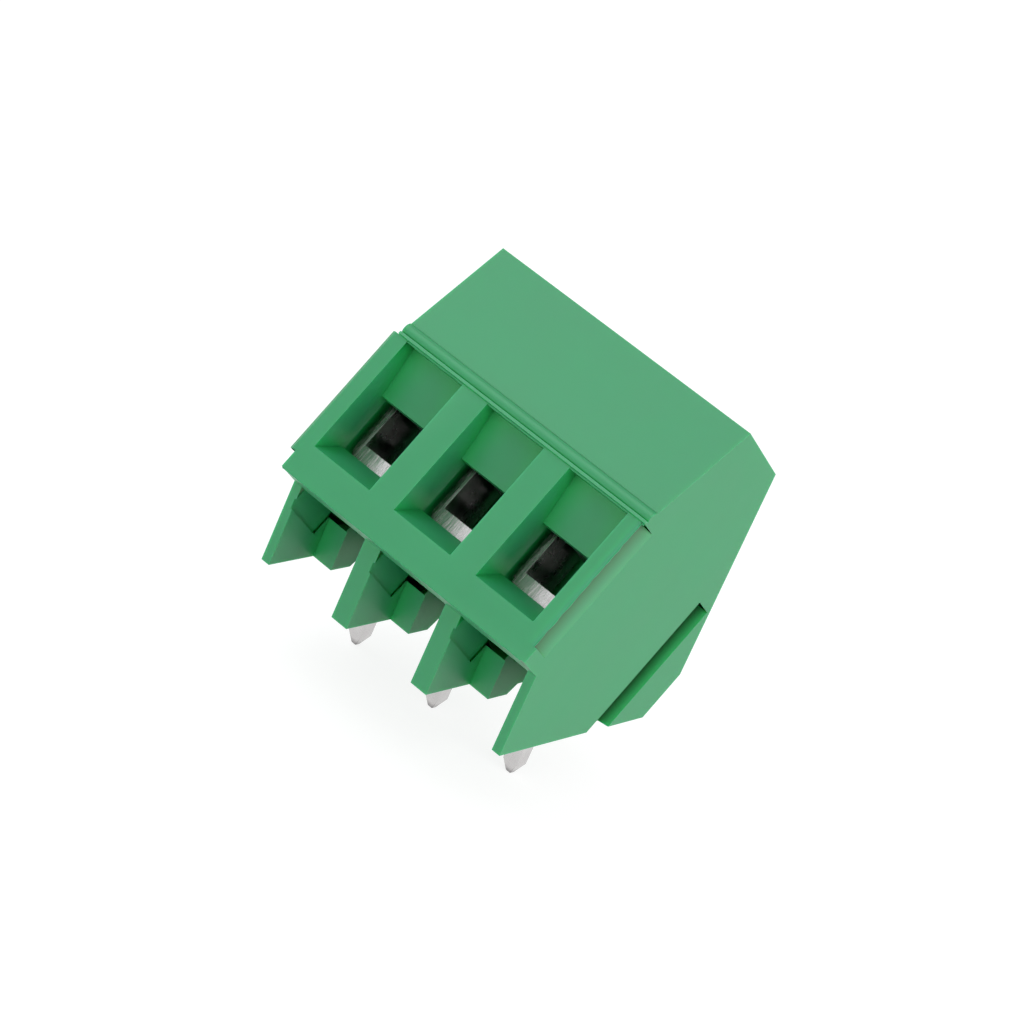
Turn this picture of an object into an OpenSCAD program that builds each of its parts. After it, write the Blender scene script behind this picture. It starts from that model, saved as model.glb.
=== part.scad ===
// Screw terminal block for a printed circuit board, with wire entries that lean back from the board.
// Each pole holds a rising-cage clamp: a captive screw lifts a square cage, which presses the wire
// up against a bent contact whose tail is the solder pin.
//
// Frame: X along the row of poles, +Y from the wire side to the back, +Z up from the board.
// The origin is the middle of the row of solder pins, on the board's top face.

/* [Poles] */
// Number of poles, each with one wire entry
poles = 3; // [2:1:6]
// Distance from one pole to the next
pitch = 5.08; // [5.08:0.01:7.62]

/* [Housing outline] */
// Lean of the wire face away from upright, in degrees
lean = 35; // [32:1:38]
// How far the sill's front edge stands ahead of the solder pins
sill_ahead = 6.78; // [6.6:0.02:7.2]
// Height of the sill's front edge above the board
sill_height = 6.47; // [6.3:0.01:7]
// Height of the wire windows, measured along the wire face
window_height = 6.19; // [5.6:0.01:6.6]
// Height of the rail below the sill, measured along the wire face
rail_height = 1.58; // [1.2:0.02:2]
// Distance from the sill to the screw face, measured along the wire face
screw_face_height = 12.35; // [12.2:0.05:13.5]
// Setback of the roof's rear edge behind the plane of the wire face
roof_setback = 1.85; // [1.4:0.05:2]
// Distance of the back wall behind the solder pins
back_depth = 5.58; // [5.4:0.02:7]
// Height at which the bottom of the back wall starts to slope inwards
heel_height = 2.1; // [1:0.1:3]
// How far the block's side faces are shifted along X from the row of poles
side_shift = 0.2; // [0.1:0.01:0.3]

/* [Ridge] */
// Radius of the rounded bead along the ridge over the windows
bead_radius = 0.36; // [0.3:0.02:0.5]
// Height of the bead above the roof
bead_rise = 0.15; // [0.1:0.01:0.3]
// Distance from the ridge edge to the middle of the bead
bead_setback = 0.48; // [0.42:0.01:0.7]
// Height of the fine lip on the ridge edge
lip_rise = 0.1; // [0.05:0.01:0.15]
// Thickness of the fine lip on the ridge edge
lip_width = 0.14; // [0.08:0.01:0.2]

/* [Wire windows] */
// Width of each wire window
window_width = 3.53; // [3:0.01:3.7]
// Depth of the sill behind the wire face
sill_depth = 1.83; // [1.5:0.01:1.9]
// Rise of the sill towards its back edge, measured along the wire face
sill_rise = 0.93; // [0.7:0.01:1.1]
// Depth of the hood's upper edge behind the wire face
hood_top_depth = 0.85; // [0.5:0.01:1.2]
// Depth of the hood's lower edge behind the wire face
hood_depth = 1.52; // [1.2:0.01:1.8]
// Height of the hood's lower edge over the sill line, measured along the wire face
hood_height = 3.76; // [3.5:0.01:3.9]

/* [Feet and partitions] */
// Thickness of the partitions between the poles, ahead of the feet
fin_thickness = 0.96; // [0.8:0.02:1.2]
// Distance of the partitions' front edges ahead of the solder pins
fin_ahead = 6.3; // [6:0.05:6.5]
// Distance of the feet's front faces ahead of the solder pins
foot_ahead = 3.25; // [3:0.05:3.5]
// Length of each foot along Y
foot_length = 1.35; // [1:0.05:1.6]
// Height of the relief between the feet and the back
relief_height = 0.5; // [0.3:0.05:0.8]
// Thickness of the end walls beside the relief
end_wall = 0.9; // [0.7:0.05:1.1]

/* [Interlock] */
// Depth of the grooves in the right side
groove_depth = 0.52; // [0.3:0.01:0.6]
// Gap between a groove and the neighbouring block's rib
interlock_gap = 0.12; // [0.08:0.01:0.2]
// Width of the front groove
front_groove_width = 1.15; // [1:0.01:1.4]
// Start of the front groove below the sill line, measured along the wire face
front_groove_drop = 0.8; // [0.5:0.05:1.2]
// Distance of the rear groove behind the wire face
rear_groove_setback = 9.2; // [9:0.05:9.4]
// Width of the rear groove
rear_groove_width = 1.3; // [1.2:0.05:1.5]

/* [Clamp cage] */
// Depth of the cage along the wire
cage_depth = 3.1; // [2.8:0.02:3.4]
// Thickness of the cage's side walls
cage_wall = 0.36; // [0.3:0.01:0.45]
// Thickness of the bar that lifts the wire
cage_bar = 0.85; // [0.7:0.01:0.9]
// Thickness of the threaded top of the cage
cage_top = 1.6; // [1.4:0.05:1.7]
// Outer radius of the cage's bends
cage_bend = 0.55; // [0.4:0.01:0.6]
// Thickness of the ledge that the cage is pushed past, into its chamber
cage_ledge = 0.3; // [0.2:0.05:0.5]
// Height of the bar's upper face over the sill line when the clamp is open
bar_open_height = 1.7; // [1.6:0.01:1.8]
// Number of gripping ridges on the bar
grip_ridges = 4; // [2:1:5]
// Height of the gripping ridges
grip_height = 0.12; // [0.06:0.01:0.15]

/* [Clamp screw] */
// Outer diameter of the screw's thread
thread_diameter = 2.5; // [2.4:0.02:2.6]
// Diameter of the screw's head
head_diameter = 3.8; // [3.6:0.02:3.8]
// Height of the screw's head
head_height = 2; // [1.6:0.05:2]
// Width of the driver slot
slot_width = 0.75; // [0.6:0.05:0.9]
// Depth of the driver slot
slot_depth = 1.1; // [0.8:0.05:1.2]
// Distance of the screw's axis behind the wire face
screw_setback = 4.14; // [4.1:0.01:4.2]
// Diameter of the driver hole in the screw face
driver_hole = 3.5; // [3.2:0.05:3.5]
// Thickness of the lip that keeps the screw in
keeper_lip = 0.95; // [0.7:0.05:1]
// Chamfer at the mouth of the driver hole
driver_chamfer = 0.3; // [0.1:0.05:0.4]

/* [Contact] */
// Thickness of the contact strip
contact_thickness = 0.8; // [0.7:0.02:0.8]
// Width of the contact strip inside the cage
contact_width = 1.3; // [1:0.02:1.6]
// Width of the solder pin
pin_width = 0.8; // [0.6:0.02:1]
// Length of the solder pin below the board's top face
pin_length = 4.1; // [3:0.1:5]
// Length of the solder pin's chamfered tip
pin_tip = 0.6; // [0.4:0.05:0.8]
// Height above the board of the shoulder where the strip narrows to the pin
shoulder_height = 4.2; // [3.5:0.05:4.6]

/* [Clearances] */
// Gap between the cage and the walls of its chamber
cage_clearance = 0.25; // [0.2:0.01:0.3]
// Gap between the contact and the pieces that slide past it
contact_clearance = 0.11; // [0.08:0.01:0.15]
// Radial gap between the screw and the hole that holds it
screw_clearance = 0.05; // [0.04:0.01:0.1]
// Gap between the screw and the cage's side walls
cage_play = 0.05; // [0.03:0.01:0.1]
// Gap between the contact and the sides of its slot
slot_clearance = 0.05; // [0.03:0.01:0.1]

/* [Hidden] */
$fn = 64;
past = 1;
green = [0.25, 0.60, 0.43];
plated = [0.78, 0.77, 0.76];
steel = [0.70, 0.71, 0.73];

pole_names = [for (k = [1:poles]) str(k)];

// Along X
row_length = poles * pitch;
frame_left = -row_length / 2;
frame_right = row_length / 2;
side_left = frame_left + side_shift;
side_right = frame_right + side_shift;
function pole_x(k) = (k - (poles - 1) / 2) * pitch;

// Places on the wire face: u runs up the face from the sill line, v runs in along the wire
function face_y(u, v) = u * sin(lean) + v * cos(lean) - sill_ahead;
function face_z(u, v) = sill_height + u * cos(lean) - v * sin(lean);
function on_face(u, v) = [face_y(u, v), face_z(u, v)];
// v at which the plane of height u meets the upright plane at distance y
function v_at_y(u, y) = (y + sill_ahead - u * sin(lean)) / cos(lean);
// u at which the plane of depth v meets the upright plane at distance y
function u_at_y(v, y) = (y + sill_ahead - v * cos(lean)) / sin(lean);
function z_under(y) = face_z(-rail_height, v_at_y(-rail_height, y));

ridge = on_face(window_height, 0);
roof_rear = on_face(screw_face_height, roof_setback);
back_top = on_face(screw_face_height, v_at_y(screw_face_height, back_depth));
roof_angle = atan2(roof_rear.y - ridge.y, roof_rear.x - ridge.x);
heel_toe = back_depth - heel_height * tan(lean);

// Across one pole
cage_slot = thread_diameter + 2 * (screw_clearance + cage_play);
cage_width = cage_slot + 2 * cage_wall;
chamber_width = cage_width + 2 * cage_clearance;
contact_slot = contact_width + 2 * slot_clearance;

// Along u, inside one pole
bar_bottom = bar_open_height - cage_bar;
contact_bottom = hood_height + 2 * slot_clearance;
contact_top = contact_bottom + contact_thickness;
cage_travel = contact_bottom - contact_clearance - bar_open_height;
cage_inside_top = contact_top + contact_clearance;
cage_height = cage_inside_top + cage_top - bar_bottom;
chamber_top = bar_bottom + cage_height + cage_travel + cage_clearance;
head_top = screw_face_height - keeper_lip - screw_clearance;
head_bottom = head_top - head_height;
screw_tip = contact_top + screw_clearance;

// Along v, inside one pole
cage_front = screw_setback - cage_depth / 2;
cage_rear = screw_setback + cage_depth / 2;
chamber_front = cage_front - cage_clearance * 2;
chamber_rear = cage_rear + cage_clearance * 2;
ledge_edge = chamber_front + cage_depth + cage_clearance / 2;
leg_front = cage_rear + contact_clearance;
leg_rear = leg_front + contact_thickness;
pin_half = contact_thickness / 2;
pin_root = 0.5;
tip_taper = 0.35;

// Fingers and grooves of the interlock
groove_lip = 0.12;
groove_floor = 0.35;
rib_reach = groove_depth - interlock_gap;

// Moulded pockets behind the clamps
pocket_wall = 1;
pocket_width = cage_width;

// Extrudes a profile drawn as [y, z] from x0 to x1
module across(x0, x1) {
    rotate([90, 0, 90])
        translate([0, 0, x0])
            linear_extrude(x1 - x0)
                children();
}

// Places its children in the frame of the wire face: Y is v, Z is u
module wire_face() {
    translate([0, -sill_ahead, sill_height])
        rotate([-lean, 0, 0])
            children();
}

// Side view of the block, without the partitions ahead of the feet
module block_outline() {
    polygon([
        on_face(-rail_height, 0),
        ridge,
        roof_rear,
        back_top,
        [back_depth, heel_height],
        [heel_toe, 0],
        [-foot_ahead, 0],
        [-foot_ahead, z_under(-foot_ahead)]
    ]);
}

// Bead and fine lip along the ridge
module ridge_outline() {
    translate(ridge)
        rotate(roof_angle) {
            translate([bead_setback, bead_rise - bead_radius])
                circle(bead_radius);
            translate([0, -lip_rise])
                square([lip_width, 2 * lip_rise]);
        }
}

// Side view of a partition ahead of the feet
module fin_outline() {
    polygon([
        [-fin_ahead, 0],
        [past - foot_ahead, 0],
        [past - foot_ahead, z_under(-foot_ahead)],
        on_face(past - rail_height, v_at_y(-rail_height, -foot_ahead)),
        on_face(past - rail_height, v_at_y(-rail_height, -fin_ahead)),
        [-fin_ahead, z_under(-fin_ahead)]
    ]);
}

// Partitions ahead of the feet; those at the ends are half as thick
module fins() {
    for (k = [0:poles]) {
        middle = side_left + k * pitch;
        across(max(middle - fin_thickness / 2, side_left), min(middle + fin_thickness / 2, side_right))
            fin_outline();
    }
}

// Grooves in the right side, which take the next block's ribs
module side_grooves() {
    wire_face() {
        translate([side_right, 0, -front_groove_drop])
            linear_extrude(window_height + front_groove_drop)
                mirror([1, 0])
                    polygon([
                        [-past, -past],
                        [side_shift, -past],
                        [side_shift, 0],
                        [groove_depth, groove_lip],
                        [groove_depth, groove_lip + groove_floor],
                        [0, front_groove_width],
                        [-past, front_groove_width]
                    ]);
        translate([side_right, rear_groove_setback, -rear_groove_setback])
            linear_extrude(window_height + rear_groove_setback)
                mirror([1, 0])
                    polygon([
                        [-past, 0],
                        [0, 0],
                        [groove_depth, rear_groove_width - groove_floor - groove_lip],
                        [groove_depth, rear_groove_width - groove_lip],
                        [0, rear_groove_width],
                        [-past, rear_groove_width]
                    ]);
    }
}

// Ribs on the left side, which reach into the next block's grooves
module side_ribs() {
    wire_face()
        translate([side_left, 0, interlock_gap - front_groove_drop])
            linear_extrude(window_height + front_groove_drop - interlock_gap)
                mirror([1, 0])
                    polygon([
                        [-past, 0],
                        [side_shift, 0],
                        [rib_reach, groove_lip + interlock_gap / 2],
                        [rib_reach, groove_lip + groove_floor - interlock_gap / 2],
                        [0, front_groove_width - interlock_gap],
                        [-past, front_groove_width - interlock_gap]
                    ]);
    intersection() {
        wire_face()
            translate([side_left, rear_groove_setback + interlock_gap, -rear_groove_setback])
                linear_extrude(window_height + rear_groove_setback)
                    mirror([1, 0])
                        polygon([
                            [-past, 0],
                            [0, 0],
                            [rib_reach, rear_groove_width - groove_floor - groove_lip - interlock_gap],
                            [rib_reach, rear_groove_width - groove_lip - 2 * interlock_gap],
                            [0, rear_groove_width - 2 * interlock_gap],
                            [-past, rear_groove_width - 2 * interlock_gap]
                        ]);
        across(side_left - past, side_left + past)
            block_outline();
    }
}

// Side view of the funnel that guides a wire in
module window_outline() {
    polygon([
        [-past, 0],
        [0, 0],
        [sill_depth, sill_rise],
        [chamber_front + past, sill_rise],
        [chamber_front + past, hood_height],
        [hood_depth, hood_height],
        [hood_top_depth, window_height],
        [-past, window_height]
    ]);
}

// Everything that is open inside one pole
module pole_cavity() {
    wire_face() {
        across(-window_width / 2, window_width / 2)
            window_outline();
        across(-chamber_width / 2, chamber_width / 2)
            polygon([
                [chamber_front, -rail_height - past],
                [chamber_front, chamber_top],
                [chamber_rear, chamber_top],
                [chamber_rear, cage_ledge - rail_height],
                [ledge_edge, cage_ledge - rail_height],
                [ledge_edge, -rail_height - past]
            ]);
        across(-contact_slot / 2, contact_slot / 2)
            polygon([
                [screw_setback, bar_bottom],
                [screw_setback, contact_top],
                [leg_rear, contact_top],
                [leg_rear, bar_bottom]
            ]);
        translate([0, screw_setback, screw_tip])
            cylinder(h = head_top + screw_clearance - screw_tip, d = head_diameter + 2 * screw_clearance);
        translate([0, screw_setback, head_top])
            cylinder(h = keeper_lip + past, d = driver_hole);
        translate([0, screw_setback, screw_face_height - driver_chamfer])
            cylinder(h = driver_chamfer + past, d1 = driver_hole, d2 = driver_hole + 2 * (driver_chamfer + past));
    }
    across(-contact_slot / 2, contact_slot / 2)
        polygon([
            [-foot_ahead - past, -past],
            [-foot_ahead - past, face_z(0, screw_setback)],
            on_face(bar_open_height, screw_setback),
            on_face(u_at_y(leg_rear, pin_half), leg_rear),
            [pin_half, -past]
        ]);
}

// Pocket that keeps the moulding's walls even behind a clamp
module rear_pocket() {
    pocket_front = leg_rear + pocket_wall;
    pocket_back = back_depth - pocket_wall;
    front_y = pin_half + pocket_wall;
    across(-pocket_width / 2, pocket_width / 2)
        polygon([
            [front_y, -past],
            on_face(u_at_y(pocket_front, front_y), pocket_front),
            on_face(u_at_y(pocket_front, pocket_back), pocket_front),
            [pocket_back, heel_height + pocket_wall],
            [heel_toe - pocket_wall, -past]
        ]);
}

// Relief under the block between the end walls, behind the feet
module foot_relief() {
    across(side_left + end_wall, side_right - end_wall)
        polygon([
            [foot_length - foot_ahead - past, -past],
            [foot_length - foot_ahead, 0],
            [foot_length - foot_ahead + relief_height, relief_height],
            [back_depth + past, relief_height],
            [back_depth + past, -past]
        ]);
}

// Moulded housing, one piece for the whole row
module housing() {
    color(green)
        difference() {
            union() {
                across(side_left, side_right)
                    block_outline();
                across(side_left, side_right)
                    ridge_outline();
                fins();
                side_ribs();
            }
            side_grooves();
            foot_relief();
            for (k = [0:poles - 1])
                translate([pole_x(k), 0, 0]) {
                    pole_cavity();
                    rear_pocket();
                }
        }
}

// Rectangle with round corners, drawn from its centre
module round_rect(width, height, radius) {
    square([width - 2 * radius, height], center = true);
    square([width, height - 2 * radius], center = true);
    for (sx = [-1, 1], sy = [-1, 1])
        translate([sx * (width / 2 - radius), sy * (height / 2 - radius)])
            circle(radius);
}

// Square clamp cage, with a ridged bar below the wire and a threaded top
module clamp_cage(k) {
    window = cage_inside_top - bar_open_height;
    ridge_pitch = (cage_depth - 2 * cage_wall) / grip_ridges;
    color(plated)
        translate([pole_x(k), 0, 0])
            wire_face()
                difference() {
                    translate([0, cage_rear, bar_bottom + cage_height / 2])
                        rotate([90, 0, 0])
                            linear_extrude(cage_depth)
                                difference() {
                                    round_rect(cage_width, cage_height, cage_bend);
                                    translate([0, cage_bar + window / 2 - cage_height / 2])
                                        square([cage_slot, window], center = true);
                                }
                    for (n = [0:grip_ridges])
                        translate([0, cage_front + cage_wall + n * ridge_pitch, bar_open_height])
                            rotate([45, 0, 0])
                                cube([cage_slot, grip_height * sqrt(2), grip_height * sqrt(2)], center = true);
                    translate([0, screw_setback, cage_inside_top - past])
                        cylinder(h = cage_top + 2 * past, d = thread_diameter + 2 * screw_clearance);
                }
}

// Slotted clamp screw; its tip bears on the contact and its head stays under the keeper lip
module clamp_screw(k) {
    edge = 0.2;
    shank = thread_diameter / 2;
    head = head_diameter / 2;
    color(steel)
        translate([pole_x(k), 0, 0])
            wire_face()
                translate([0, screw_setback, 0])
                    difference() {
                        rotate_extrude()
                            polygon([
                                [0, screw_tip],
                                [shank - 2 * edge, screw_tip],
                                [shank, screw_tip + 2 * edge],
                                [shank, head_bottom],
                                [head - edge, head_bottom],
                                [head, head_bottom + edge],
                                [head, head_top - edge],
                                [head - edge, head_top],
                                [0, head_top]
                            ]);
                        translate([0, 0, head_top])
                            cube([slot_width, head_diameter + past, 2 * slot_depth], center = true);
                    }
}

// Strip contact: a bar through the cage, a leg behind it, and an upright solder pin
module contact_pin(k) {
    color(plated)
        translate([pole_x(k), 0, 0]) {
            across(-contact_width / 2, contact_width / 2)
                polygon([
                    on_face(contact_bottom, cage_front + contact_clearance),
                    on_face(contact_top, cage_front + contact_clearance),
                    on_face(contact_top, leg_rear),
                    on_face(u_at_y(leg_rear, pin_half), leg_rear),
                    [pin_half, shoulder_height],
                    [-pin_half, shoulder_height],
                    on_face(u_at_y(leg_front, -pin_half), leg_front),
                    on_face(contact_bottom, leg_front)
                ]);
            intersection() {
                across(-pin_width / 2, pin_width / 2)
                    pin_outline(pin_half);
                rotate([90, 0, 0])
                    translate([0, 0, -pin_half])
                        linear_extrude(2 * pin_half)
                            pin_outline(pin_width / 2);
            }
        }
}

// Solder pin seen square on, with its tapered tip
module pin_outline(half) {
    polygon([
        [-half, shoulder_height + pin_root],
        [-half, pin_tip - pin_length],
        [-half * tip_taper, -pin_length],
        [half * tip_taper, -pin_length],
        [half, pin_tip - pin_length],
        [half, shoulder_height + pin_root]
    ]);
}

housing();
for (k = [0:poles - 1]) {
    contact_pin(k);
    clamp_cage(k);
    clamp_screw(k);
}
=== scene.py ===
"""Looks of a three-pole screw terminal block: moulded green housing, plated clamps and studio stage."""

import math

import bmesh
import bpy
from bpy.props import FloatProperty, FloatVectorProperty, IntProperty, PointerProperty
from bpy.types import Operator, Panel, PropertyGroup
from mathutils import Matrix, Vector, noise


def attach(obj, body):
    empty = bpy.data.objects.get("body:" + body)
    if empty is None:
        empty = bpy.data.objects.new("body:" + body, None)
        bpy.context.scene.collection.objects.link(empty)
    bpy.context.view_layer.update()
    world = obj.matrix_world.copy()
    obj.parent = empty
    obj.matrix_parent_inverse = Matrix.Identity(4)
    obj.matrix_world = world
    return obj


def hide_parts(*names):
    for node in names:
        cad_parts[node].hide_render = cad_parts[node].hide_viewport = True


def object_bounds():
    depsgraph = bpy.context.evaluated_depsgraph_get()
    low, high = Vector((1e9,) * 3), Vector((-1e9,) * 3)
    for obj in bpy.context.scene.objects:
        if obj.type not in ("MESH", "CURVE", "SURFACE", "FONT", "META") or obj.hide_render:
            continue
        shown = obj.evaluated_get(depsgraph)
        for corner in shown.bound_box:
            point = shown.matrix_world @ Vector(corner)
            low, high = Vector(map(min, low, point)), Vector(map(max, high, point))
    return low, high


bl_info = {
    "name": "Screw Terminal Block",
    "version": (1, 0, 0),
    "blender": (4, 5, 0),
    "location": "View3D > Sidebar > Terminal",
    "description": "Dresses a packed screw terminal block and sets its studio stage",
    "category": "Object",
}

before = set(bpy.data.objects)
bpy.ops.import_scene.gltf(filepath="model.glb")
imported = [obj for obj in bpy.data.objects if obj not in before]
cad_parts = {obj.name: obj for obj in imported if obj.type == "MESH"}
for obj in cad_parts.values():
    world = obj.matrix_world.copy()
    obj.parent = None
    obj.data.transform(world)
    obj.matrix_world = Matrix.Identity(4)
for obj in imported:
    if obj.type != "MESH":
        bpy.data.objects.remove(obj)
CAD_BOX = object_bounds()
CAD_LOW, CAD_HIGH = (Vector(corner) for corner in CAD_BOX)
POLES = [name.rsplit("_", 1)[1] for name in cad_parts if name.startswith("clamp_screw_")]
POLES.sort(key=int)

MM = 0.001
WELD = 1e-6
FLAT_ANGLE = math.radians(1)
EDGE_ANGLE = math.radians(25)
SMOOTH_ANGLE = math.radians(46)

# The wire face leans back from the front edge of its sill. These follow the CAD source.
LEAN = math.radians(35)
SILL = Vector((0, -6.78, 6.47)) * MM
RISE = Vector((0, math.sin(LEAN), math.cos(LEAN)))
INWARD = Vector((0, math.cos(LEAN), -math.sin(LEAN)))
SCREW_SETBACK = 4.14 * MM

# Millimetres along the row, and up the wire face from the sill line
FRAME_END = 7.62
BLOCK_START = -7.42
RAIL_BOTTOM = -1.58
RIDGE = 6.19


def on_face(x, u, v):
    """Point x along the row, u up the wire face and v in along the wire, in millimetres"""
    return Vector((x * MM, 0, 0)) + SILL + RISE * (u * MM) + INWARD * (v * MM)


# ---------------------------------------------------------------- settings


class TerminalHousingSettings(PropertyGroup):
    """Finish of the moulded housing"""

    colour: FloatVectorProperty(
        name="Nylon Colour",
        description="Body colour of the moulded nylon",
        subtype="COLOR",
        size=3,
        min=0,
        max=1,
        default=(0.022, 0.262, 0.100),
    )
    edge_radius: FloatProperty(
        name="Edge Radius",
        description="Radius of the rounded edges that the mould leaves",
        unit="LENGTH",
        min=0,
        precision=5,
        default=0.06 * MM,
    )
    roughness: FloatProperty(
        name="Roughness",
        description="Roughness of the satin surface",
        subtype="FACTOR",
        min=0,
        max=1,
        default=0.42,
    )
    ripple_size: FloatProperty(
        name="Ripple Size",
        description="Width of the shallow ripples in the moulded faces",
        unit="LENGTH",
        min=0,
        precision=5,
        default=1.6 * MM,
    )


class TerminalMetalSettings(PropertyGroup):
    """Finish of the clamps, contacts and screws"""

    plating: FloatVectorProperty(
        name="Plating Colour",
        description="Colour of the plated cages and contacts",
        subtype="COLOR",
        size=3,
        min=0,
        max=1,
        default=(0.62, 0.60, 0.60),
    )
    steel: FloatVectorProperty(
        name="Screw Colour",
        description="Colour of the screws",
        subtype="COLOR",
        size=3,
        min=0,
        max=1,
        default=(0.55, 0.55, 0.56),
    )
    edge_radius: FloatProperty(
        name="Edge Radius",
        description="Radius of the edges of the metal pieces",
        unit="LENGTH",
        min=0,
        precision=5,
        default=0.05 * MM,
    )
    thread_pitch: FloatProperty(
        name="Thread Pitch",
        description="Distance from one turn of the screw thread to the next",
        unit="LENGTH",
        min=0,
        precision=5,
        default=0.45 * MM,
    )
    thread_depth: FloatProperty(
        name="Thread Depth",
        description="Depth of the screw thread",
        unit="LENGTH",
        min=0,
        precision=5,
        default=0.28 * MM,
    )
    thread_steps: IntProperty(
        name="Thread Steps",
        description="Facets in one turn of the screw thread",
        min=8,
        default=32,
    )
    thread_diameter: FloatProperty(
        name="Thread Diameter",
        description="Outer diameter of the screw thread",
        unit="LENGTH",
        min=0,
        precision=5,
        default=2.5 * MM,
    )


class TerminalStageSettings(PropertyGroup):
    """Camera, lamps and floor"""

    azimuth: FloatProperty(
        name="Azimuth",
        description="Direction of the camera around the block, from its wire side",
        subtype="ANGLE",
        default=math.radians(30.66),
    )
    elevation: FloatProperty(
        name="Elevation",
        description="Height of the camera over the board plane",
        subtype="ANGLE",
        default=math.radians(24.95),
    )
    roll: FloatProperty(
        name="Roll",
        description="Turn of the camera about its own line of sight",
        subtype="ANGLE",
        default=math.radians(24.22),
    )
    distance: FloatProperty(
        name="Distance",
        description="Distance of the camera from the point that it looks at",
        unit="LENGTH",
        default=189.8 * MM,
    )
    aim_offset: FloatVectorProperty(
        name="Aim Offset",
        description="Point that the camera looks at, from the middle of the block",
        subtype="TRANSLATION",
        size=3,
        default=(0, 0.5 * MM, 0.9 * MM),
    )
    lens: FloatProperty(
        name="Lens",
        description="Focal length of the camera in millimetres",
        unit="CAMERA",
        default=151.3,
    )
    sky: FloatProperty(
        name="Sky Strength",
        description="Strength of the even white light from all round",
        min=0,
        default=0.74,
    )
    key: FloatProperty(
        name="Key Power",
        description="Power of the large lamp above the block, in watts",
        min=0,
        default=0.21,
    )
    front: FloatProperty(
        name="Front Power",
        description="Power of the low lamp in front of the block, in watts",
        min=0,
        default=0.22,
    )
    fill: FloatProperty(
        name="Fill Power",
        description="Power of the lamp beside the block, in watts",
        min=0,
        default=0.4,
    )
    floor_glow: FloatProperty(
        name="Floor Glow",
        description="Share of the floor's white that doesn't depend on the lamps",
        min=0,
        max=1,
        default=0.82,
    )


# ---------------------------------------------------------------- materials


class Shader:
    """A material's node tree, built one node at a time"""

    def __init__(self, name):
        self.material = bpy.data.materials.new(name)
        self.material.use_nodes = True
        self.tree = self.material.node_tree
        self.tree.nodes.clear()
        self.output = self.tree.nodes.new("ShaderNodeOutputMaterial")

    def add(self, kind, inputs=None, **settings):
        """Adds a node; an input is a value, or another node's output socket"""
        node = self.tree.nodes.new("ShaderNode" + kind)
        for name, value in settings.items():
            setattr(node, name, value)
        for name, value in (inputs or {}).items():
            self.set(node.inputs[name], value)
        return node

    def set(self, socket, value):
        if isinstance(value, bpy.types.NodeSocket):
            self.tree.links.new(value, socket)
        elif socket.type == "RGBA" and len(value) == 3:
            socket.default_value = (*value, 1)
        else:
            socket.default_value = value

    def noise(self, size, detail=2, roughness=0.5, stretch=(1, 1, 1)):
        """Noise on object coordinates, with cells of about the given size in metres"""
        coords = self.add("TexCoord").outputs["Object"]
        scaled = self.add("Mapping", {"Vector": coords, "Scale": stretch}).outputs["Vector"]
        return self.add(
            "TexNoise",
            {"Vector": scaled, "Scale": 1 / size, "Detail": detail, "Roughness": roughness},
        ).outputs["Fac"]

    def ramp(self, factor, low, high, start=0.0, end=1.0):
        """Value from low to high as the factor goes from start to end"""
        return self.add(
            "MapRange",
            {"Value": factor, "From Min": start, "From Max": end, "To Min": low, "To Max": high},
        ).outputs["Result"]

    def blend(self, factor, colour_a, colour_b):
        node = self.add("Mix", data_type="RGBA")
        self.set(node.inputs["Factor"], factor)
        self.set(node.inputs["A"], colour_a)
        self.set(node.inputs["B"], colour_b)
        return node.outputs["Result"]

    def bump(self, height, depth, normal=None):
        inputs = {"Height": height, "Distance": depth, "Strength": 1.0}
        if normal:
            inputs["Normal"] = normal
        return self.add("Bump", inputs).outputs["Normal"]

    def openness(self, reach, low=0.0, high=1.0):
        """Ambient occlusion as a mask for painted shade: 0 deep in a recess and 1 on an open face,
        looking as far as the reach
        """
        open_share = self.add("AmbientOcclusion", {"Distance": reach}, samples=16).outputs["AO"]
        return self.ramp(open_share, 0, 1, low, high)

    def along(self, direction):
        """Position on the object along a direction, in metres"""
        coords = self.add("TexCoord").outputs["Object"]
        dot = self.add("VectorMath", {0: coords, 1: direction}, operation="DOT_PRODUCT")
        return dot.outputs["Value"]

    def product(self, *factors):
        result = factors[0]
        for factor in factors[1:]:
            result = self.add("Math", {0: result, 1: factor}, operation="MULTIPLY").outputs[0]
        return result

    def finish(self, shader):
        self.tree.links.new(shader.outputs[0], self.output.inputs["Surface"])
        return self.material


def scaled(colour, factor):
    return tuple(min(channel * factor, 1) for channel in colour)


def groove_shade_mask(shader):
    """Mask of painted shade: 1 on the floors of the two side grooves, fading to 0 at their rims"""
    across = shader.along((1, 0, 0))
    rise = shader.along(RISE)
    inward = shader.along(INWARD)

    def band(place, rises, falls, origin=0.0):
        """1 between two edges, each given as its start and end in millimetres"""
        up = shader.ramp(place, 0, 1, origin + rises[0] * MM, origin + rises[1] * MM)
        down = shader.ramp(place, 1, 0, origin + falls[0] * MM, origin + falls[1] * MM)
        return shader.product(up, down)

    set_back = band(across, (7.24, 7.28), (7.34, 7.72))
    below_ridge = band(rise, (-10, -9), (6.1, 6.2), SILL.dot(RISE))
    front = band(inward, (0.08, 0.13), (1.15, 1.2), SILL.dot(INWARD))
    rear = band(inward, (9.1, 9.15), (10.55, 10.6), SILL.dot(INWARD))
    either = shader.add("Math", {0: front, 1: rear}, operation="MAXIMUM").outputs[0]
    return shader.product(set_back, below_ridge, either)


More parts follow.
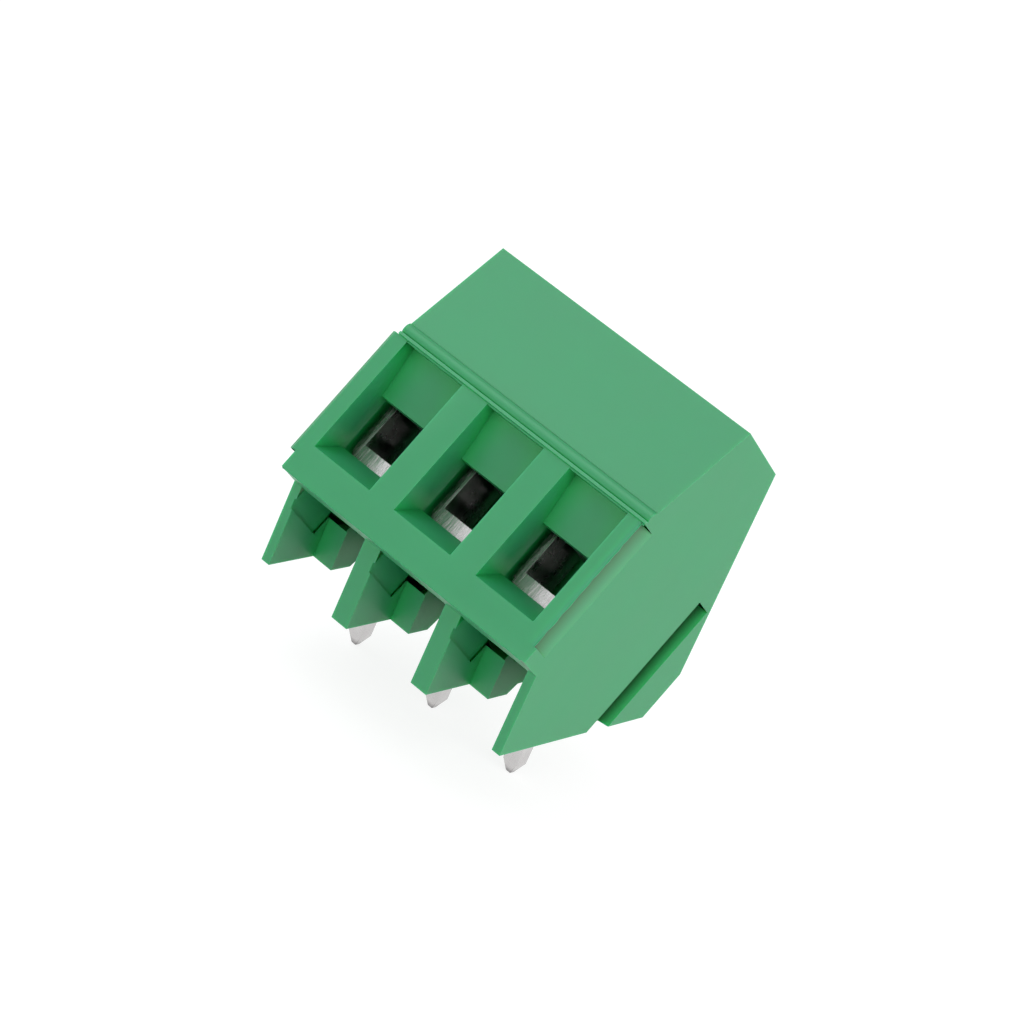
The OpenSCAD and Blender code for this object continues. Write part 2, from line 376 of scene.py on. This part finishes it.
def green_nylon(settings):
    """Satin nylon: light scatters a little way in, and its faces ripple where the melt shrank. Its
    colour carries painted shade and a painted glow in recesses, and painted shade in the side grooves
    """
    shader = Shader("green_nylon")
    clouds = shader.noise(2.5 * settings.ripple_size, detail=3)
    open_colour = shader.blend(clouds, scaled(settings.colour, 0.93), scaled(settings.colour, 1.07))
    # Painted shade and glow in recesses: by ambient occlusion the deepest corners go dark and the rims
    # of recesses a saturated green, fading to the open colour on open faces
    painted_corner_shade = (0.004, 0.19, 0.04)
    painted_recess_glow = (0.010, 0.36, 0.08)
    painted_groove_shade = (0.001, 0.10, 0.018)
    recess = shader.blend(shader.openness(0.9 * MM, 0.2, 0.6), painted_corner_shade, painted_recess_glow)
    body = shader.blend(shader.openness(1.6 * MM, 0.4, 0.9), recess, open_colour)
    # Painted shade on the floors of the two side grooves, placed by position
    colour = shader.blend(groove_shade_mask(shader), body, painted_groove_shade)
    grain = shader.noise(0.05 * MM, detail=2)
    roughness = shader.ramp(clouds, settings.roughness - 0.05, settings.roughness + 0.05)
    ripple = shader.bump(shader.noise(settings.ripple_size, detail=1), 0.012 * MM)
    principled = shader.add(
        "BsdfPrincipled",
        {
            "Base Color": colour,
            "Roughness": roughness,
            "IOR": 1.53,
            "Subsurface Weight": 0.35,
            "Subsurface Radius": (0.15, 1.0, 0.4),
            "Subsurface Scale": 0.9 * MM,
            "Normal": shader.bump(grain, 0.0012 * MM, ripple),
        },
    )
    return shader.finish(principled)


def plated_metal(name, colour, settings):
    """Plated strip whose sheared edges carry fine scores, and whose colour goes nearly black deep in
    recesses as painted shade
    """
    shader = Shader(name)
    scores = shader.noise(0.16 * MM, detail=4, roughness=0.6, stretch=(1, 0.12, 0.12))
    stains = shader.noise(0.9 * MM, detail=3)
    open_colour = shader.blend(stains, scaled(colour, 0.88), scaled(colour, 1.1))
    # Painted shade: the colour goes nearly black where ambient occlusion finds a recess
    shade = shader.openness(3 * MM, 0.12, 0.42)
    principled = shader.add(
        "BsdfPrincipled",
        {
            "Base Color": shader.blend(shade, scaled(colour, 0.03), open_colour),
            "Metallic": 1.0,
            "Roughness": shader.ramp(scores, 0.14, 0.34, 0.3, 0.7),
            "Normal": shader.bump(scores, 0.015 * MM),
        },
    )
    return shader.finish(principled)


def screw_steel(settings):
    """Bright plated steel with light turning marks"""
    shader = Shader("screw_steel")
    marks = shader.noise(0.12 * MM, detail=3)
    principled = shader.add(
        "BsdfPrincipled",
        {
            "Base Color": shader.blend(marks, scaled(settings.steel, 0.9), scaled(settings.steel, 1.1)),
            "Metallic": 1.0,
            "Roughness": shader.ramp(marks, 0.25, 0.4),
            "Normal": shader.bump(marks, 0.004 * MM),
        },
    )
    return shader.finish(principled)


# ---------------------------------------------------------------- mesh helpers


def merged_copy(node):
    """A bmesh of a CAD node with its loose triangles joined into whole faces"""
    mesh = bmesh.new()
    mesh.from_mesh(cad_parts[node].data)
    bmesh.ops.remove_doubles(mesh, verts=mesh.verts, dist=WELD)
    bmesh.ops.dissolve_limit(
        mesh,
        angle_limit=FLAT_ANGLE,
        verts=mesh.verts,
        edges=mesh.edges,
        delimit={"NORMAL"},
    )
    return mesh


def round_edges(mesh, radius, segments=2):
    """Rounds every sharp edge"""
    sharp = [e for e in mesh.edges if len(e.link_faces) == 2 and e.calc_face_angle() > EDGE_ANGLE]
    bmesh.ops.bevel(
        mesh,
        geom=sharp,
        offset=radius,
        offset_type="OFFSET",
        affect="EDGES",
        segments=segments,
        profile=0.5,
        material=-1,
        clamp_overlap=True,
    )


def piece(name, mesh, material, body, slot, *nodes):
    """Turns a bmesh into a piece of the block that stands for CAD nodes"""
    data = bpy.data.meshes.new(name)
    mesh.to_mesh(data)
    mesh.free()
    data.materials.append(material)
    data.shade_smooth()
    data.set_sharp_from_angle(angle=SMOOTH_ANGLE)
    obj = bpy.data.objects.new(name, data)
    bpy.context.scene.collection.objects.link(obj)
    even = obj.modifiers.new("even_shading", "WEIGHTED_NORMAL")
    even.mode = "FACE_AREA"
    even.weight = 100
    even.keep_sharp = True
    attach(obj, body)
    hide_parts(*nodes)
    return obj


def join(mesh, part):
    """Moves a finished part into a mesh"""
    data = bpy.data.meshes.new("part")
    part.to_mesh(data)
    part.free()
    mesh.from_mesh(data)
    bpy.data.meshes.remove(data)


def add_flash(mesh, start, end, outward, width, reach, seed):
    """A thin uneven fin of nylon along a line, as the mould's joint leaves it"""
    step = 0.12 * MM
    wave = 0.5 * MM
    root = 0.08 * MM
    length = (end - start).length
    along = (end - start) / length
    across = outward.cross(along)
    cuts = int(length / step)
    place = Matrix((along, across, outward)).transposed().to_4x4()
    place.translation = (start + end) / 2
    strip = bmesh.new()
    bmesh.ops.create_cube(strip, size=1.0)
    long_edges = [edge for edge in strip.edges if abs((edge.verts[0].co - edge.verts[1].co).x) > 0.5]
    bmesh.ops.subdivide_edges(strip, edges=long_edges, cuts=cuts, use_grid_fill=True)
    for vert in strip.verts:
        spot = Vector((vert.co.x * length / wave, seed, 0))
        height = 0.6 + 0.5 * noise.noise(spot) + 0.25 * noise.noise(spot * 3.1)
        vert.co.x *= length
        if vert.co.z > 0:
            vert.co.z = reach * max(height, 0.1)
            vert.co.y *= width * 0.5
        else:
            vert.co.z = -root
            vert.co.y *= width
    bmesh.ops.transform(strip, matrix=place, verts=strip.verts)
    join(mesh, strip)


# ---------------------------------------------------------------- operators


class TERMINAL_OT_housing(Operator):
    """Mould the housing with rounded edges"""

    bl_idname = "terminal.housing"
    bl_label = "Mould Housing"

    def execute(self, context):
        settings = context.scene.terminal_housing
        mesh = merged_copy("housing")
        round_edges(mesh, settings.edge_radius)
        nylon = green_nylon(settings)
        piece("moulded_housing", mesh, nylon, "housing", "housing", "housing")
        inset = 0.06
        left = BLOCK_START + inset
        right = FRAME_END - inset
        side = FRAME_END - 0.02
        lip = RIDGE - 0.03
        flash = bmesh.new()
        for start, end, outward, reach, seed in (
            (on_face(left, RAIL_BOTTOM, 0.05), on_face(right, RAIL_BOTTOM, 0.05), -RISE, 0.07, 1),
            (on_face(right + 0.2, lip, inset), on_face(left, lip, inset), -RISE, 0.06, 2),
            (on_face(side, RAIL_BOTTOM, inset), on_face(side, RIDGE, inset), Vector((1, 0, 0)), 0.07, 3),
        ):
            add_flash(flash, start, end, outward, 0.06 * MM, reach * MM, seed)
        piece("mould_flash", flash, nylon, "housing", "housing")
        return {"FINISHED"}


class TERMINAL_OT_contacts(Operator):
    """Finish the contact strips and their solder pins"""

    bl_idname = "terminal.contacts"
    bl_label = "Finish Contacts"

    def execute(self, context):
        settings = context.scene.terminal_metal
        material = plated_metal("tinned_brass", settings.plating, settings)
        for pole in POLES:
            node = "contact_pin_" + pole
            mesh = merged_copy(node)
            round_edges(mesh, settings.edge_radius)
            piece("tinned_" + node, mesh, material, "housing", "contact", node)
        return {"FINISHED"}


class TERMINAL_OT_cages(Operator):
    """Finish the clamp cages"""

    bl_idname = "terminal.cages"
    bl_label = "Finish Cages"

    def execute(self, context):
        settings = context.scene.terminal_metal
        material = plated_metal("plated_cage", settings.plating, settings)
        for pole in POLES:
            node = "clamp_cage_" + pole
            mesh = merged_copy(node)
            round_edges(mesh, settings.edge_radius)
            piece("plated_" + node, mesh, material, "cage_" + pole, "cage", node)
        return {"FINISHED"}


def screw_matrix(mesh):
    """Frame of a screw: its axis is Z, and its origin is level with the sill line"""
    low = min(vert.co.x for vert in mesh.verts)
    high = max(vert.co.x for vert in mesh.verts)
    side = Vector((1, 0, 0))
    place = Matrix((side, INWARD, RISE)).transposed().to_4x4()
    place.translation = SILL + INWARD * SCREW_SETBACK + side * ((low + high) / 2)
    return place


def cut_thread(mesh, settings):
    """Narrows the shank to its core and winds a thread around it"""
    place = screw_matrix(mesh)
    inverse = place.inverted()
    outer = settings.thread_diameter / 2
    core = outer - settings.thread_depth
    root = core - 0.06 * MM
    local = {vert: inverse @ vert.co for vert in mesh.verts}
    shank = [vert for vert, co in local.items() if outer / 2 < co.xy.length < outer + WELD]
    top = max(local[vert].z for vert in shank)
    bottom = min(local[vert].z for vert in shank)
    bmesh.ops.scale(mesh, vec=(core / outer, core / outer, 1), space=inverse, verts=shank)
    pitch = settings.thread_pitch
    start = bottom + 0.35 * pitch
    turns = int((top - start) / pitch - 0.6)
    profile = ((root, 0.0), (outer, 0.4), (outer, 0.5), (root, 0.9))
    thread = bmesh.new()
    ring = [place @ Vector((radius, 0, start + share * pitch)) for radius, share in profile]
    face = thread.faces.new([thread.verts.new(corner) for corner in ring])
    bmesh.ops.spin(
        thread,
        geom=[face, *face.edges, *face.verts],
        cent=place.translation,
        axis=RISE,
        dvec=RISE * (pitch / settings.thread_steps),
        angle=2 * math.pi * turns,
        steps=settings.thread_steps * turns,
        use_duplicate=False,
    )
    bmesh.ops.recalc_face_normals(thread, faces=thread.faces)
    join(mesh, thread)


class TERMINAL_OT_screws(Operator):
    """Cut the threads and finish the clamp screws"""

    bl_idname = "terminal.screws"
    bl_label = "Finish Screws"

    def execute(self, context):
        settings = context.scene.terminal_metal
        material = screw_steel(settings)
        for pole in POLES:
            node = "clamp_screw_" + pole
            mesh = merged_copy(node)
            round_edges(mesh, settings.edge_radius)
            cut_thread(mesh, settings)
            piece("threaded_" + node, mesh, material, "screw_" + pole, "screw", node)
        return {"FINISHED"}


def camera_axes(azimuth, elevation, roll):
    """Right, up and backward directions of a camera"""
    back = Vector(
        (
            math.sin(azimuth) * math.cos(elevation),
            -math.cos(azimuth) * math.cos(elevation),
            math.sin(elevation),
        )
    )
    right = Vector((math.cos(azimuth), math.sin(azimuth), 0))
    up = back.cross(right)
    turned_right = right * math.cos(roll) + up * math.sin(roll)
    return turned_right, back.cross(turned_right), back


def add_camera(scene, settings):
    data = bpy.data.cameras.new("camera")
    data.lens = settings.lens
    data.clip_start = 0.001
    camera = bpy.data.objects.new("camera", data)
    scene.collection.objects.link(camera)
    right, up, back = camera_axes(settings.azimuth, settings.elevation, settings.roll)
    target = (CAD_LOW + CAD_HIGH) / 2 + Vector(settings.aim_offset)
    place = Matrix((right, up, back)).transposed().to_4x4()
    place.translation = target + back * settings.distance
    camera.matrix_world = place
    scene.camera = camera


def add_lamp(scene, name, power, colour, size, azimuth, elevation, distance):
    """A square lamp that faces the middle of the block; its angles are in degrees"""
    data = bpy.data.lights.new(name, "AREA")
    data.energy = power
    data.color = colour
    data.size = size
    lamp = bpy.data.objects.new(name, data)
    scene.collection.objects.link(lamp)
    right, up, back = camera_axes(math.radians(azimuth), math.radians(elevation), 0)
    place = Matrix((right, up, back)).transposed().to_4x4()
    place.translation = (CAD_LOW + CAD_HIGH) / 2 + back * distance
    lamp.matrix_world = place


def seen_directly(shader):
    """1 where a surface is seen by the camera, or in a gloss or through a clear piece"""
    path = shader.add("LightPath")
    gloss = shader.add(
        "Math",
        {0: path.outputs["Is Camera Ray"], 1: path.outputs["Is Glossy Ray"]},
        operation="MAXIMUM",
    )
    return shader.add(
        "Math",
        {0: gloss.outputs[0], 1: path.outputs["Is Transmission Ray"]},
        operation="MAXIMUM",
    ).outputs[0]


def floor_white(settings):
    """White floor that still takes a faint shadow"""
    shader = Shader("floor_white")
    matt = shader.add("BsdfDiffuse", {"Color": (0.8, 0.8, 0.8)})
    faint = shader.add("BsdfDiffuse", {"Color": (0.25, 0.25, 0.25)})
    glow = shader.add("Emission", {"Color": (1, 1, 1), "Strength": settings.floor_glow})
    both = shader.add("AddShader", {0: faint.outputs[0], 1: glow.outputs[0]})
    mix = shader.add(
        "MixShader",
        {0: seen_directly(shader), 1: matt.outputs[0], 2: both.outputs[0]},
    )
    return shader.finish(mix)


def add_floor(scene, settings):
    mesh = bmesh.new()
    bmesh.ops.create_grid(mesh, x_segments=1, y_segments=1, size=2.0)
    bmesh.ops.translate(mesh, verts=mesh.verts, vec=(0, 0, CAD_LOW.z))
    data = bpy.data.meshes.new("floor")
    mesh.to_mesh(data)
    mesh.free()
    data.materials.append(floor_white(settings))
    floor = bpy.data.objects.new("floor", data)
    scene.collection.objects.link(floor)


def set_world(scene, settings):
    world = bpy.data.worlds.new("studio")
    world.use_nodes = True
    nodes = world.node_tree.nodes
    links = world.node_tree.links
    background = nodes["Background"]
    background.inputs["Color"].default_value = (1, 1, 1, 1)
    path = nodes.new("ShaderNodeLightPath")
    strength = nodes.new("ShaderNodeMapRange")
    strength.inputs["To Min"].default_value = settings.sky
    strength.inputs["To Max"].default_value = 1
    links.new(path.outputs["Is Camera Ray"], strength.inputs["Value"])
    links.new(strength.outputs["Result"], background.inputs["Strength"])
    scene.world = world


class TERMINAL_OT_stage(Operator):
    """Set the floor, lamps, world and camera"""

    bl_idname = "terminal.stage"
    bl_label = "Set Stage"

    def execute(self, context):
        scene = context.scene
        settings = scene.terminal_stage
        scene.view_settings.view_transform = "Standard"
        add_camera(scene, settings)
        cool = (0.9, 0.97, 1.0)
        white = (1.0, 1.0, 1.0)
        add_lamp(scene, "key", settings.key, cool, size=0.2, azimuth=-64, elevation=58, distance=0.25)
        add_lamp(scene, "fill", settings.fill, white, size=0.22, azimuth=84, elevation=14, distance=0.25)
        add_lamp(scene, "front", settings.front, white, size=0.2, azimuth=8, elevation=6, distance=0.28)
        set_world(scene, settings)
        add_floor(scene, settings)
        return {"FINISHED"}


# ---------------------------------------------------------------- add-on


class TERMINAL_PT_sidebar(Panel):
    """Steps that dress the block"""

    bl_idname = "TERMINAL_PT_sidebar"
    bl_label = "Screw Terminal"
    bl_space_type = "VIEW_3D"
    bl_region_type = "UI"
    bl_category = "Terminal"

    def draw(self, context):
        for step in STEPS:
            self.layout.operator(step.bl_idname)


STEPS = (
    TERMINAL_OT_housing,
    TERMINAL_OT_contacts,
    TERMINAL_OT_cages,
    TERMINAL_OT_screws,
    TERMINAL_OT_stage,
)
SETTINGS = {
    "terminal_housing": TerminalHousingSettings,
    "terminal_metal": TerminalMetalSettings,
    "terminal_stage": TerminalStageSettings,
}


def register():
    for group in SETTINGS.values():
        bpy.utils.register_class(group)
    for step in STEPS:
        bpy.utils.register_class(step)
    bpy.utils.register_class(TERMINAL_PT_sidebar)
    for name, group in SETTINGS.items():
        setattr(bpy.types.Scene, name, PointerProperty(type=group))


def unregister():
    for name in SETTINGS:
        delattr(bpy.types.Scene, name)
    bpy.utils.unregister_class(TERMINAL_PT_sidebar)
    for step in reversed(STEPS):
        bpy.utils.unregister_class(step)
    for group in SETTINGS.values():
        bpy.utils.unregister_class(group)


def main():
    register()
    bpy.ops.terminal.housing()
    bpy.ops.terminal.contacts()
    bpy.ops.terminal.cages()
    bpy.ops.terminal.screws()
    bpy.ops.terminal.stage()


if __name__ == "__main__":
    main()
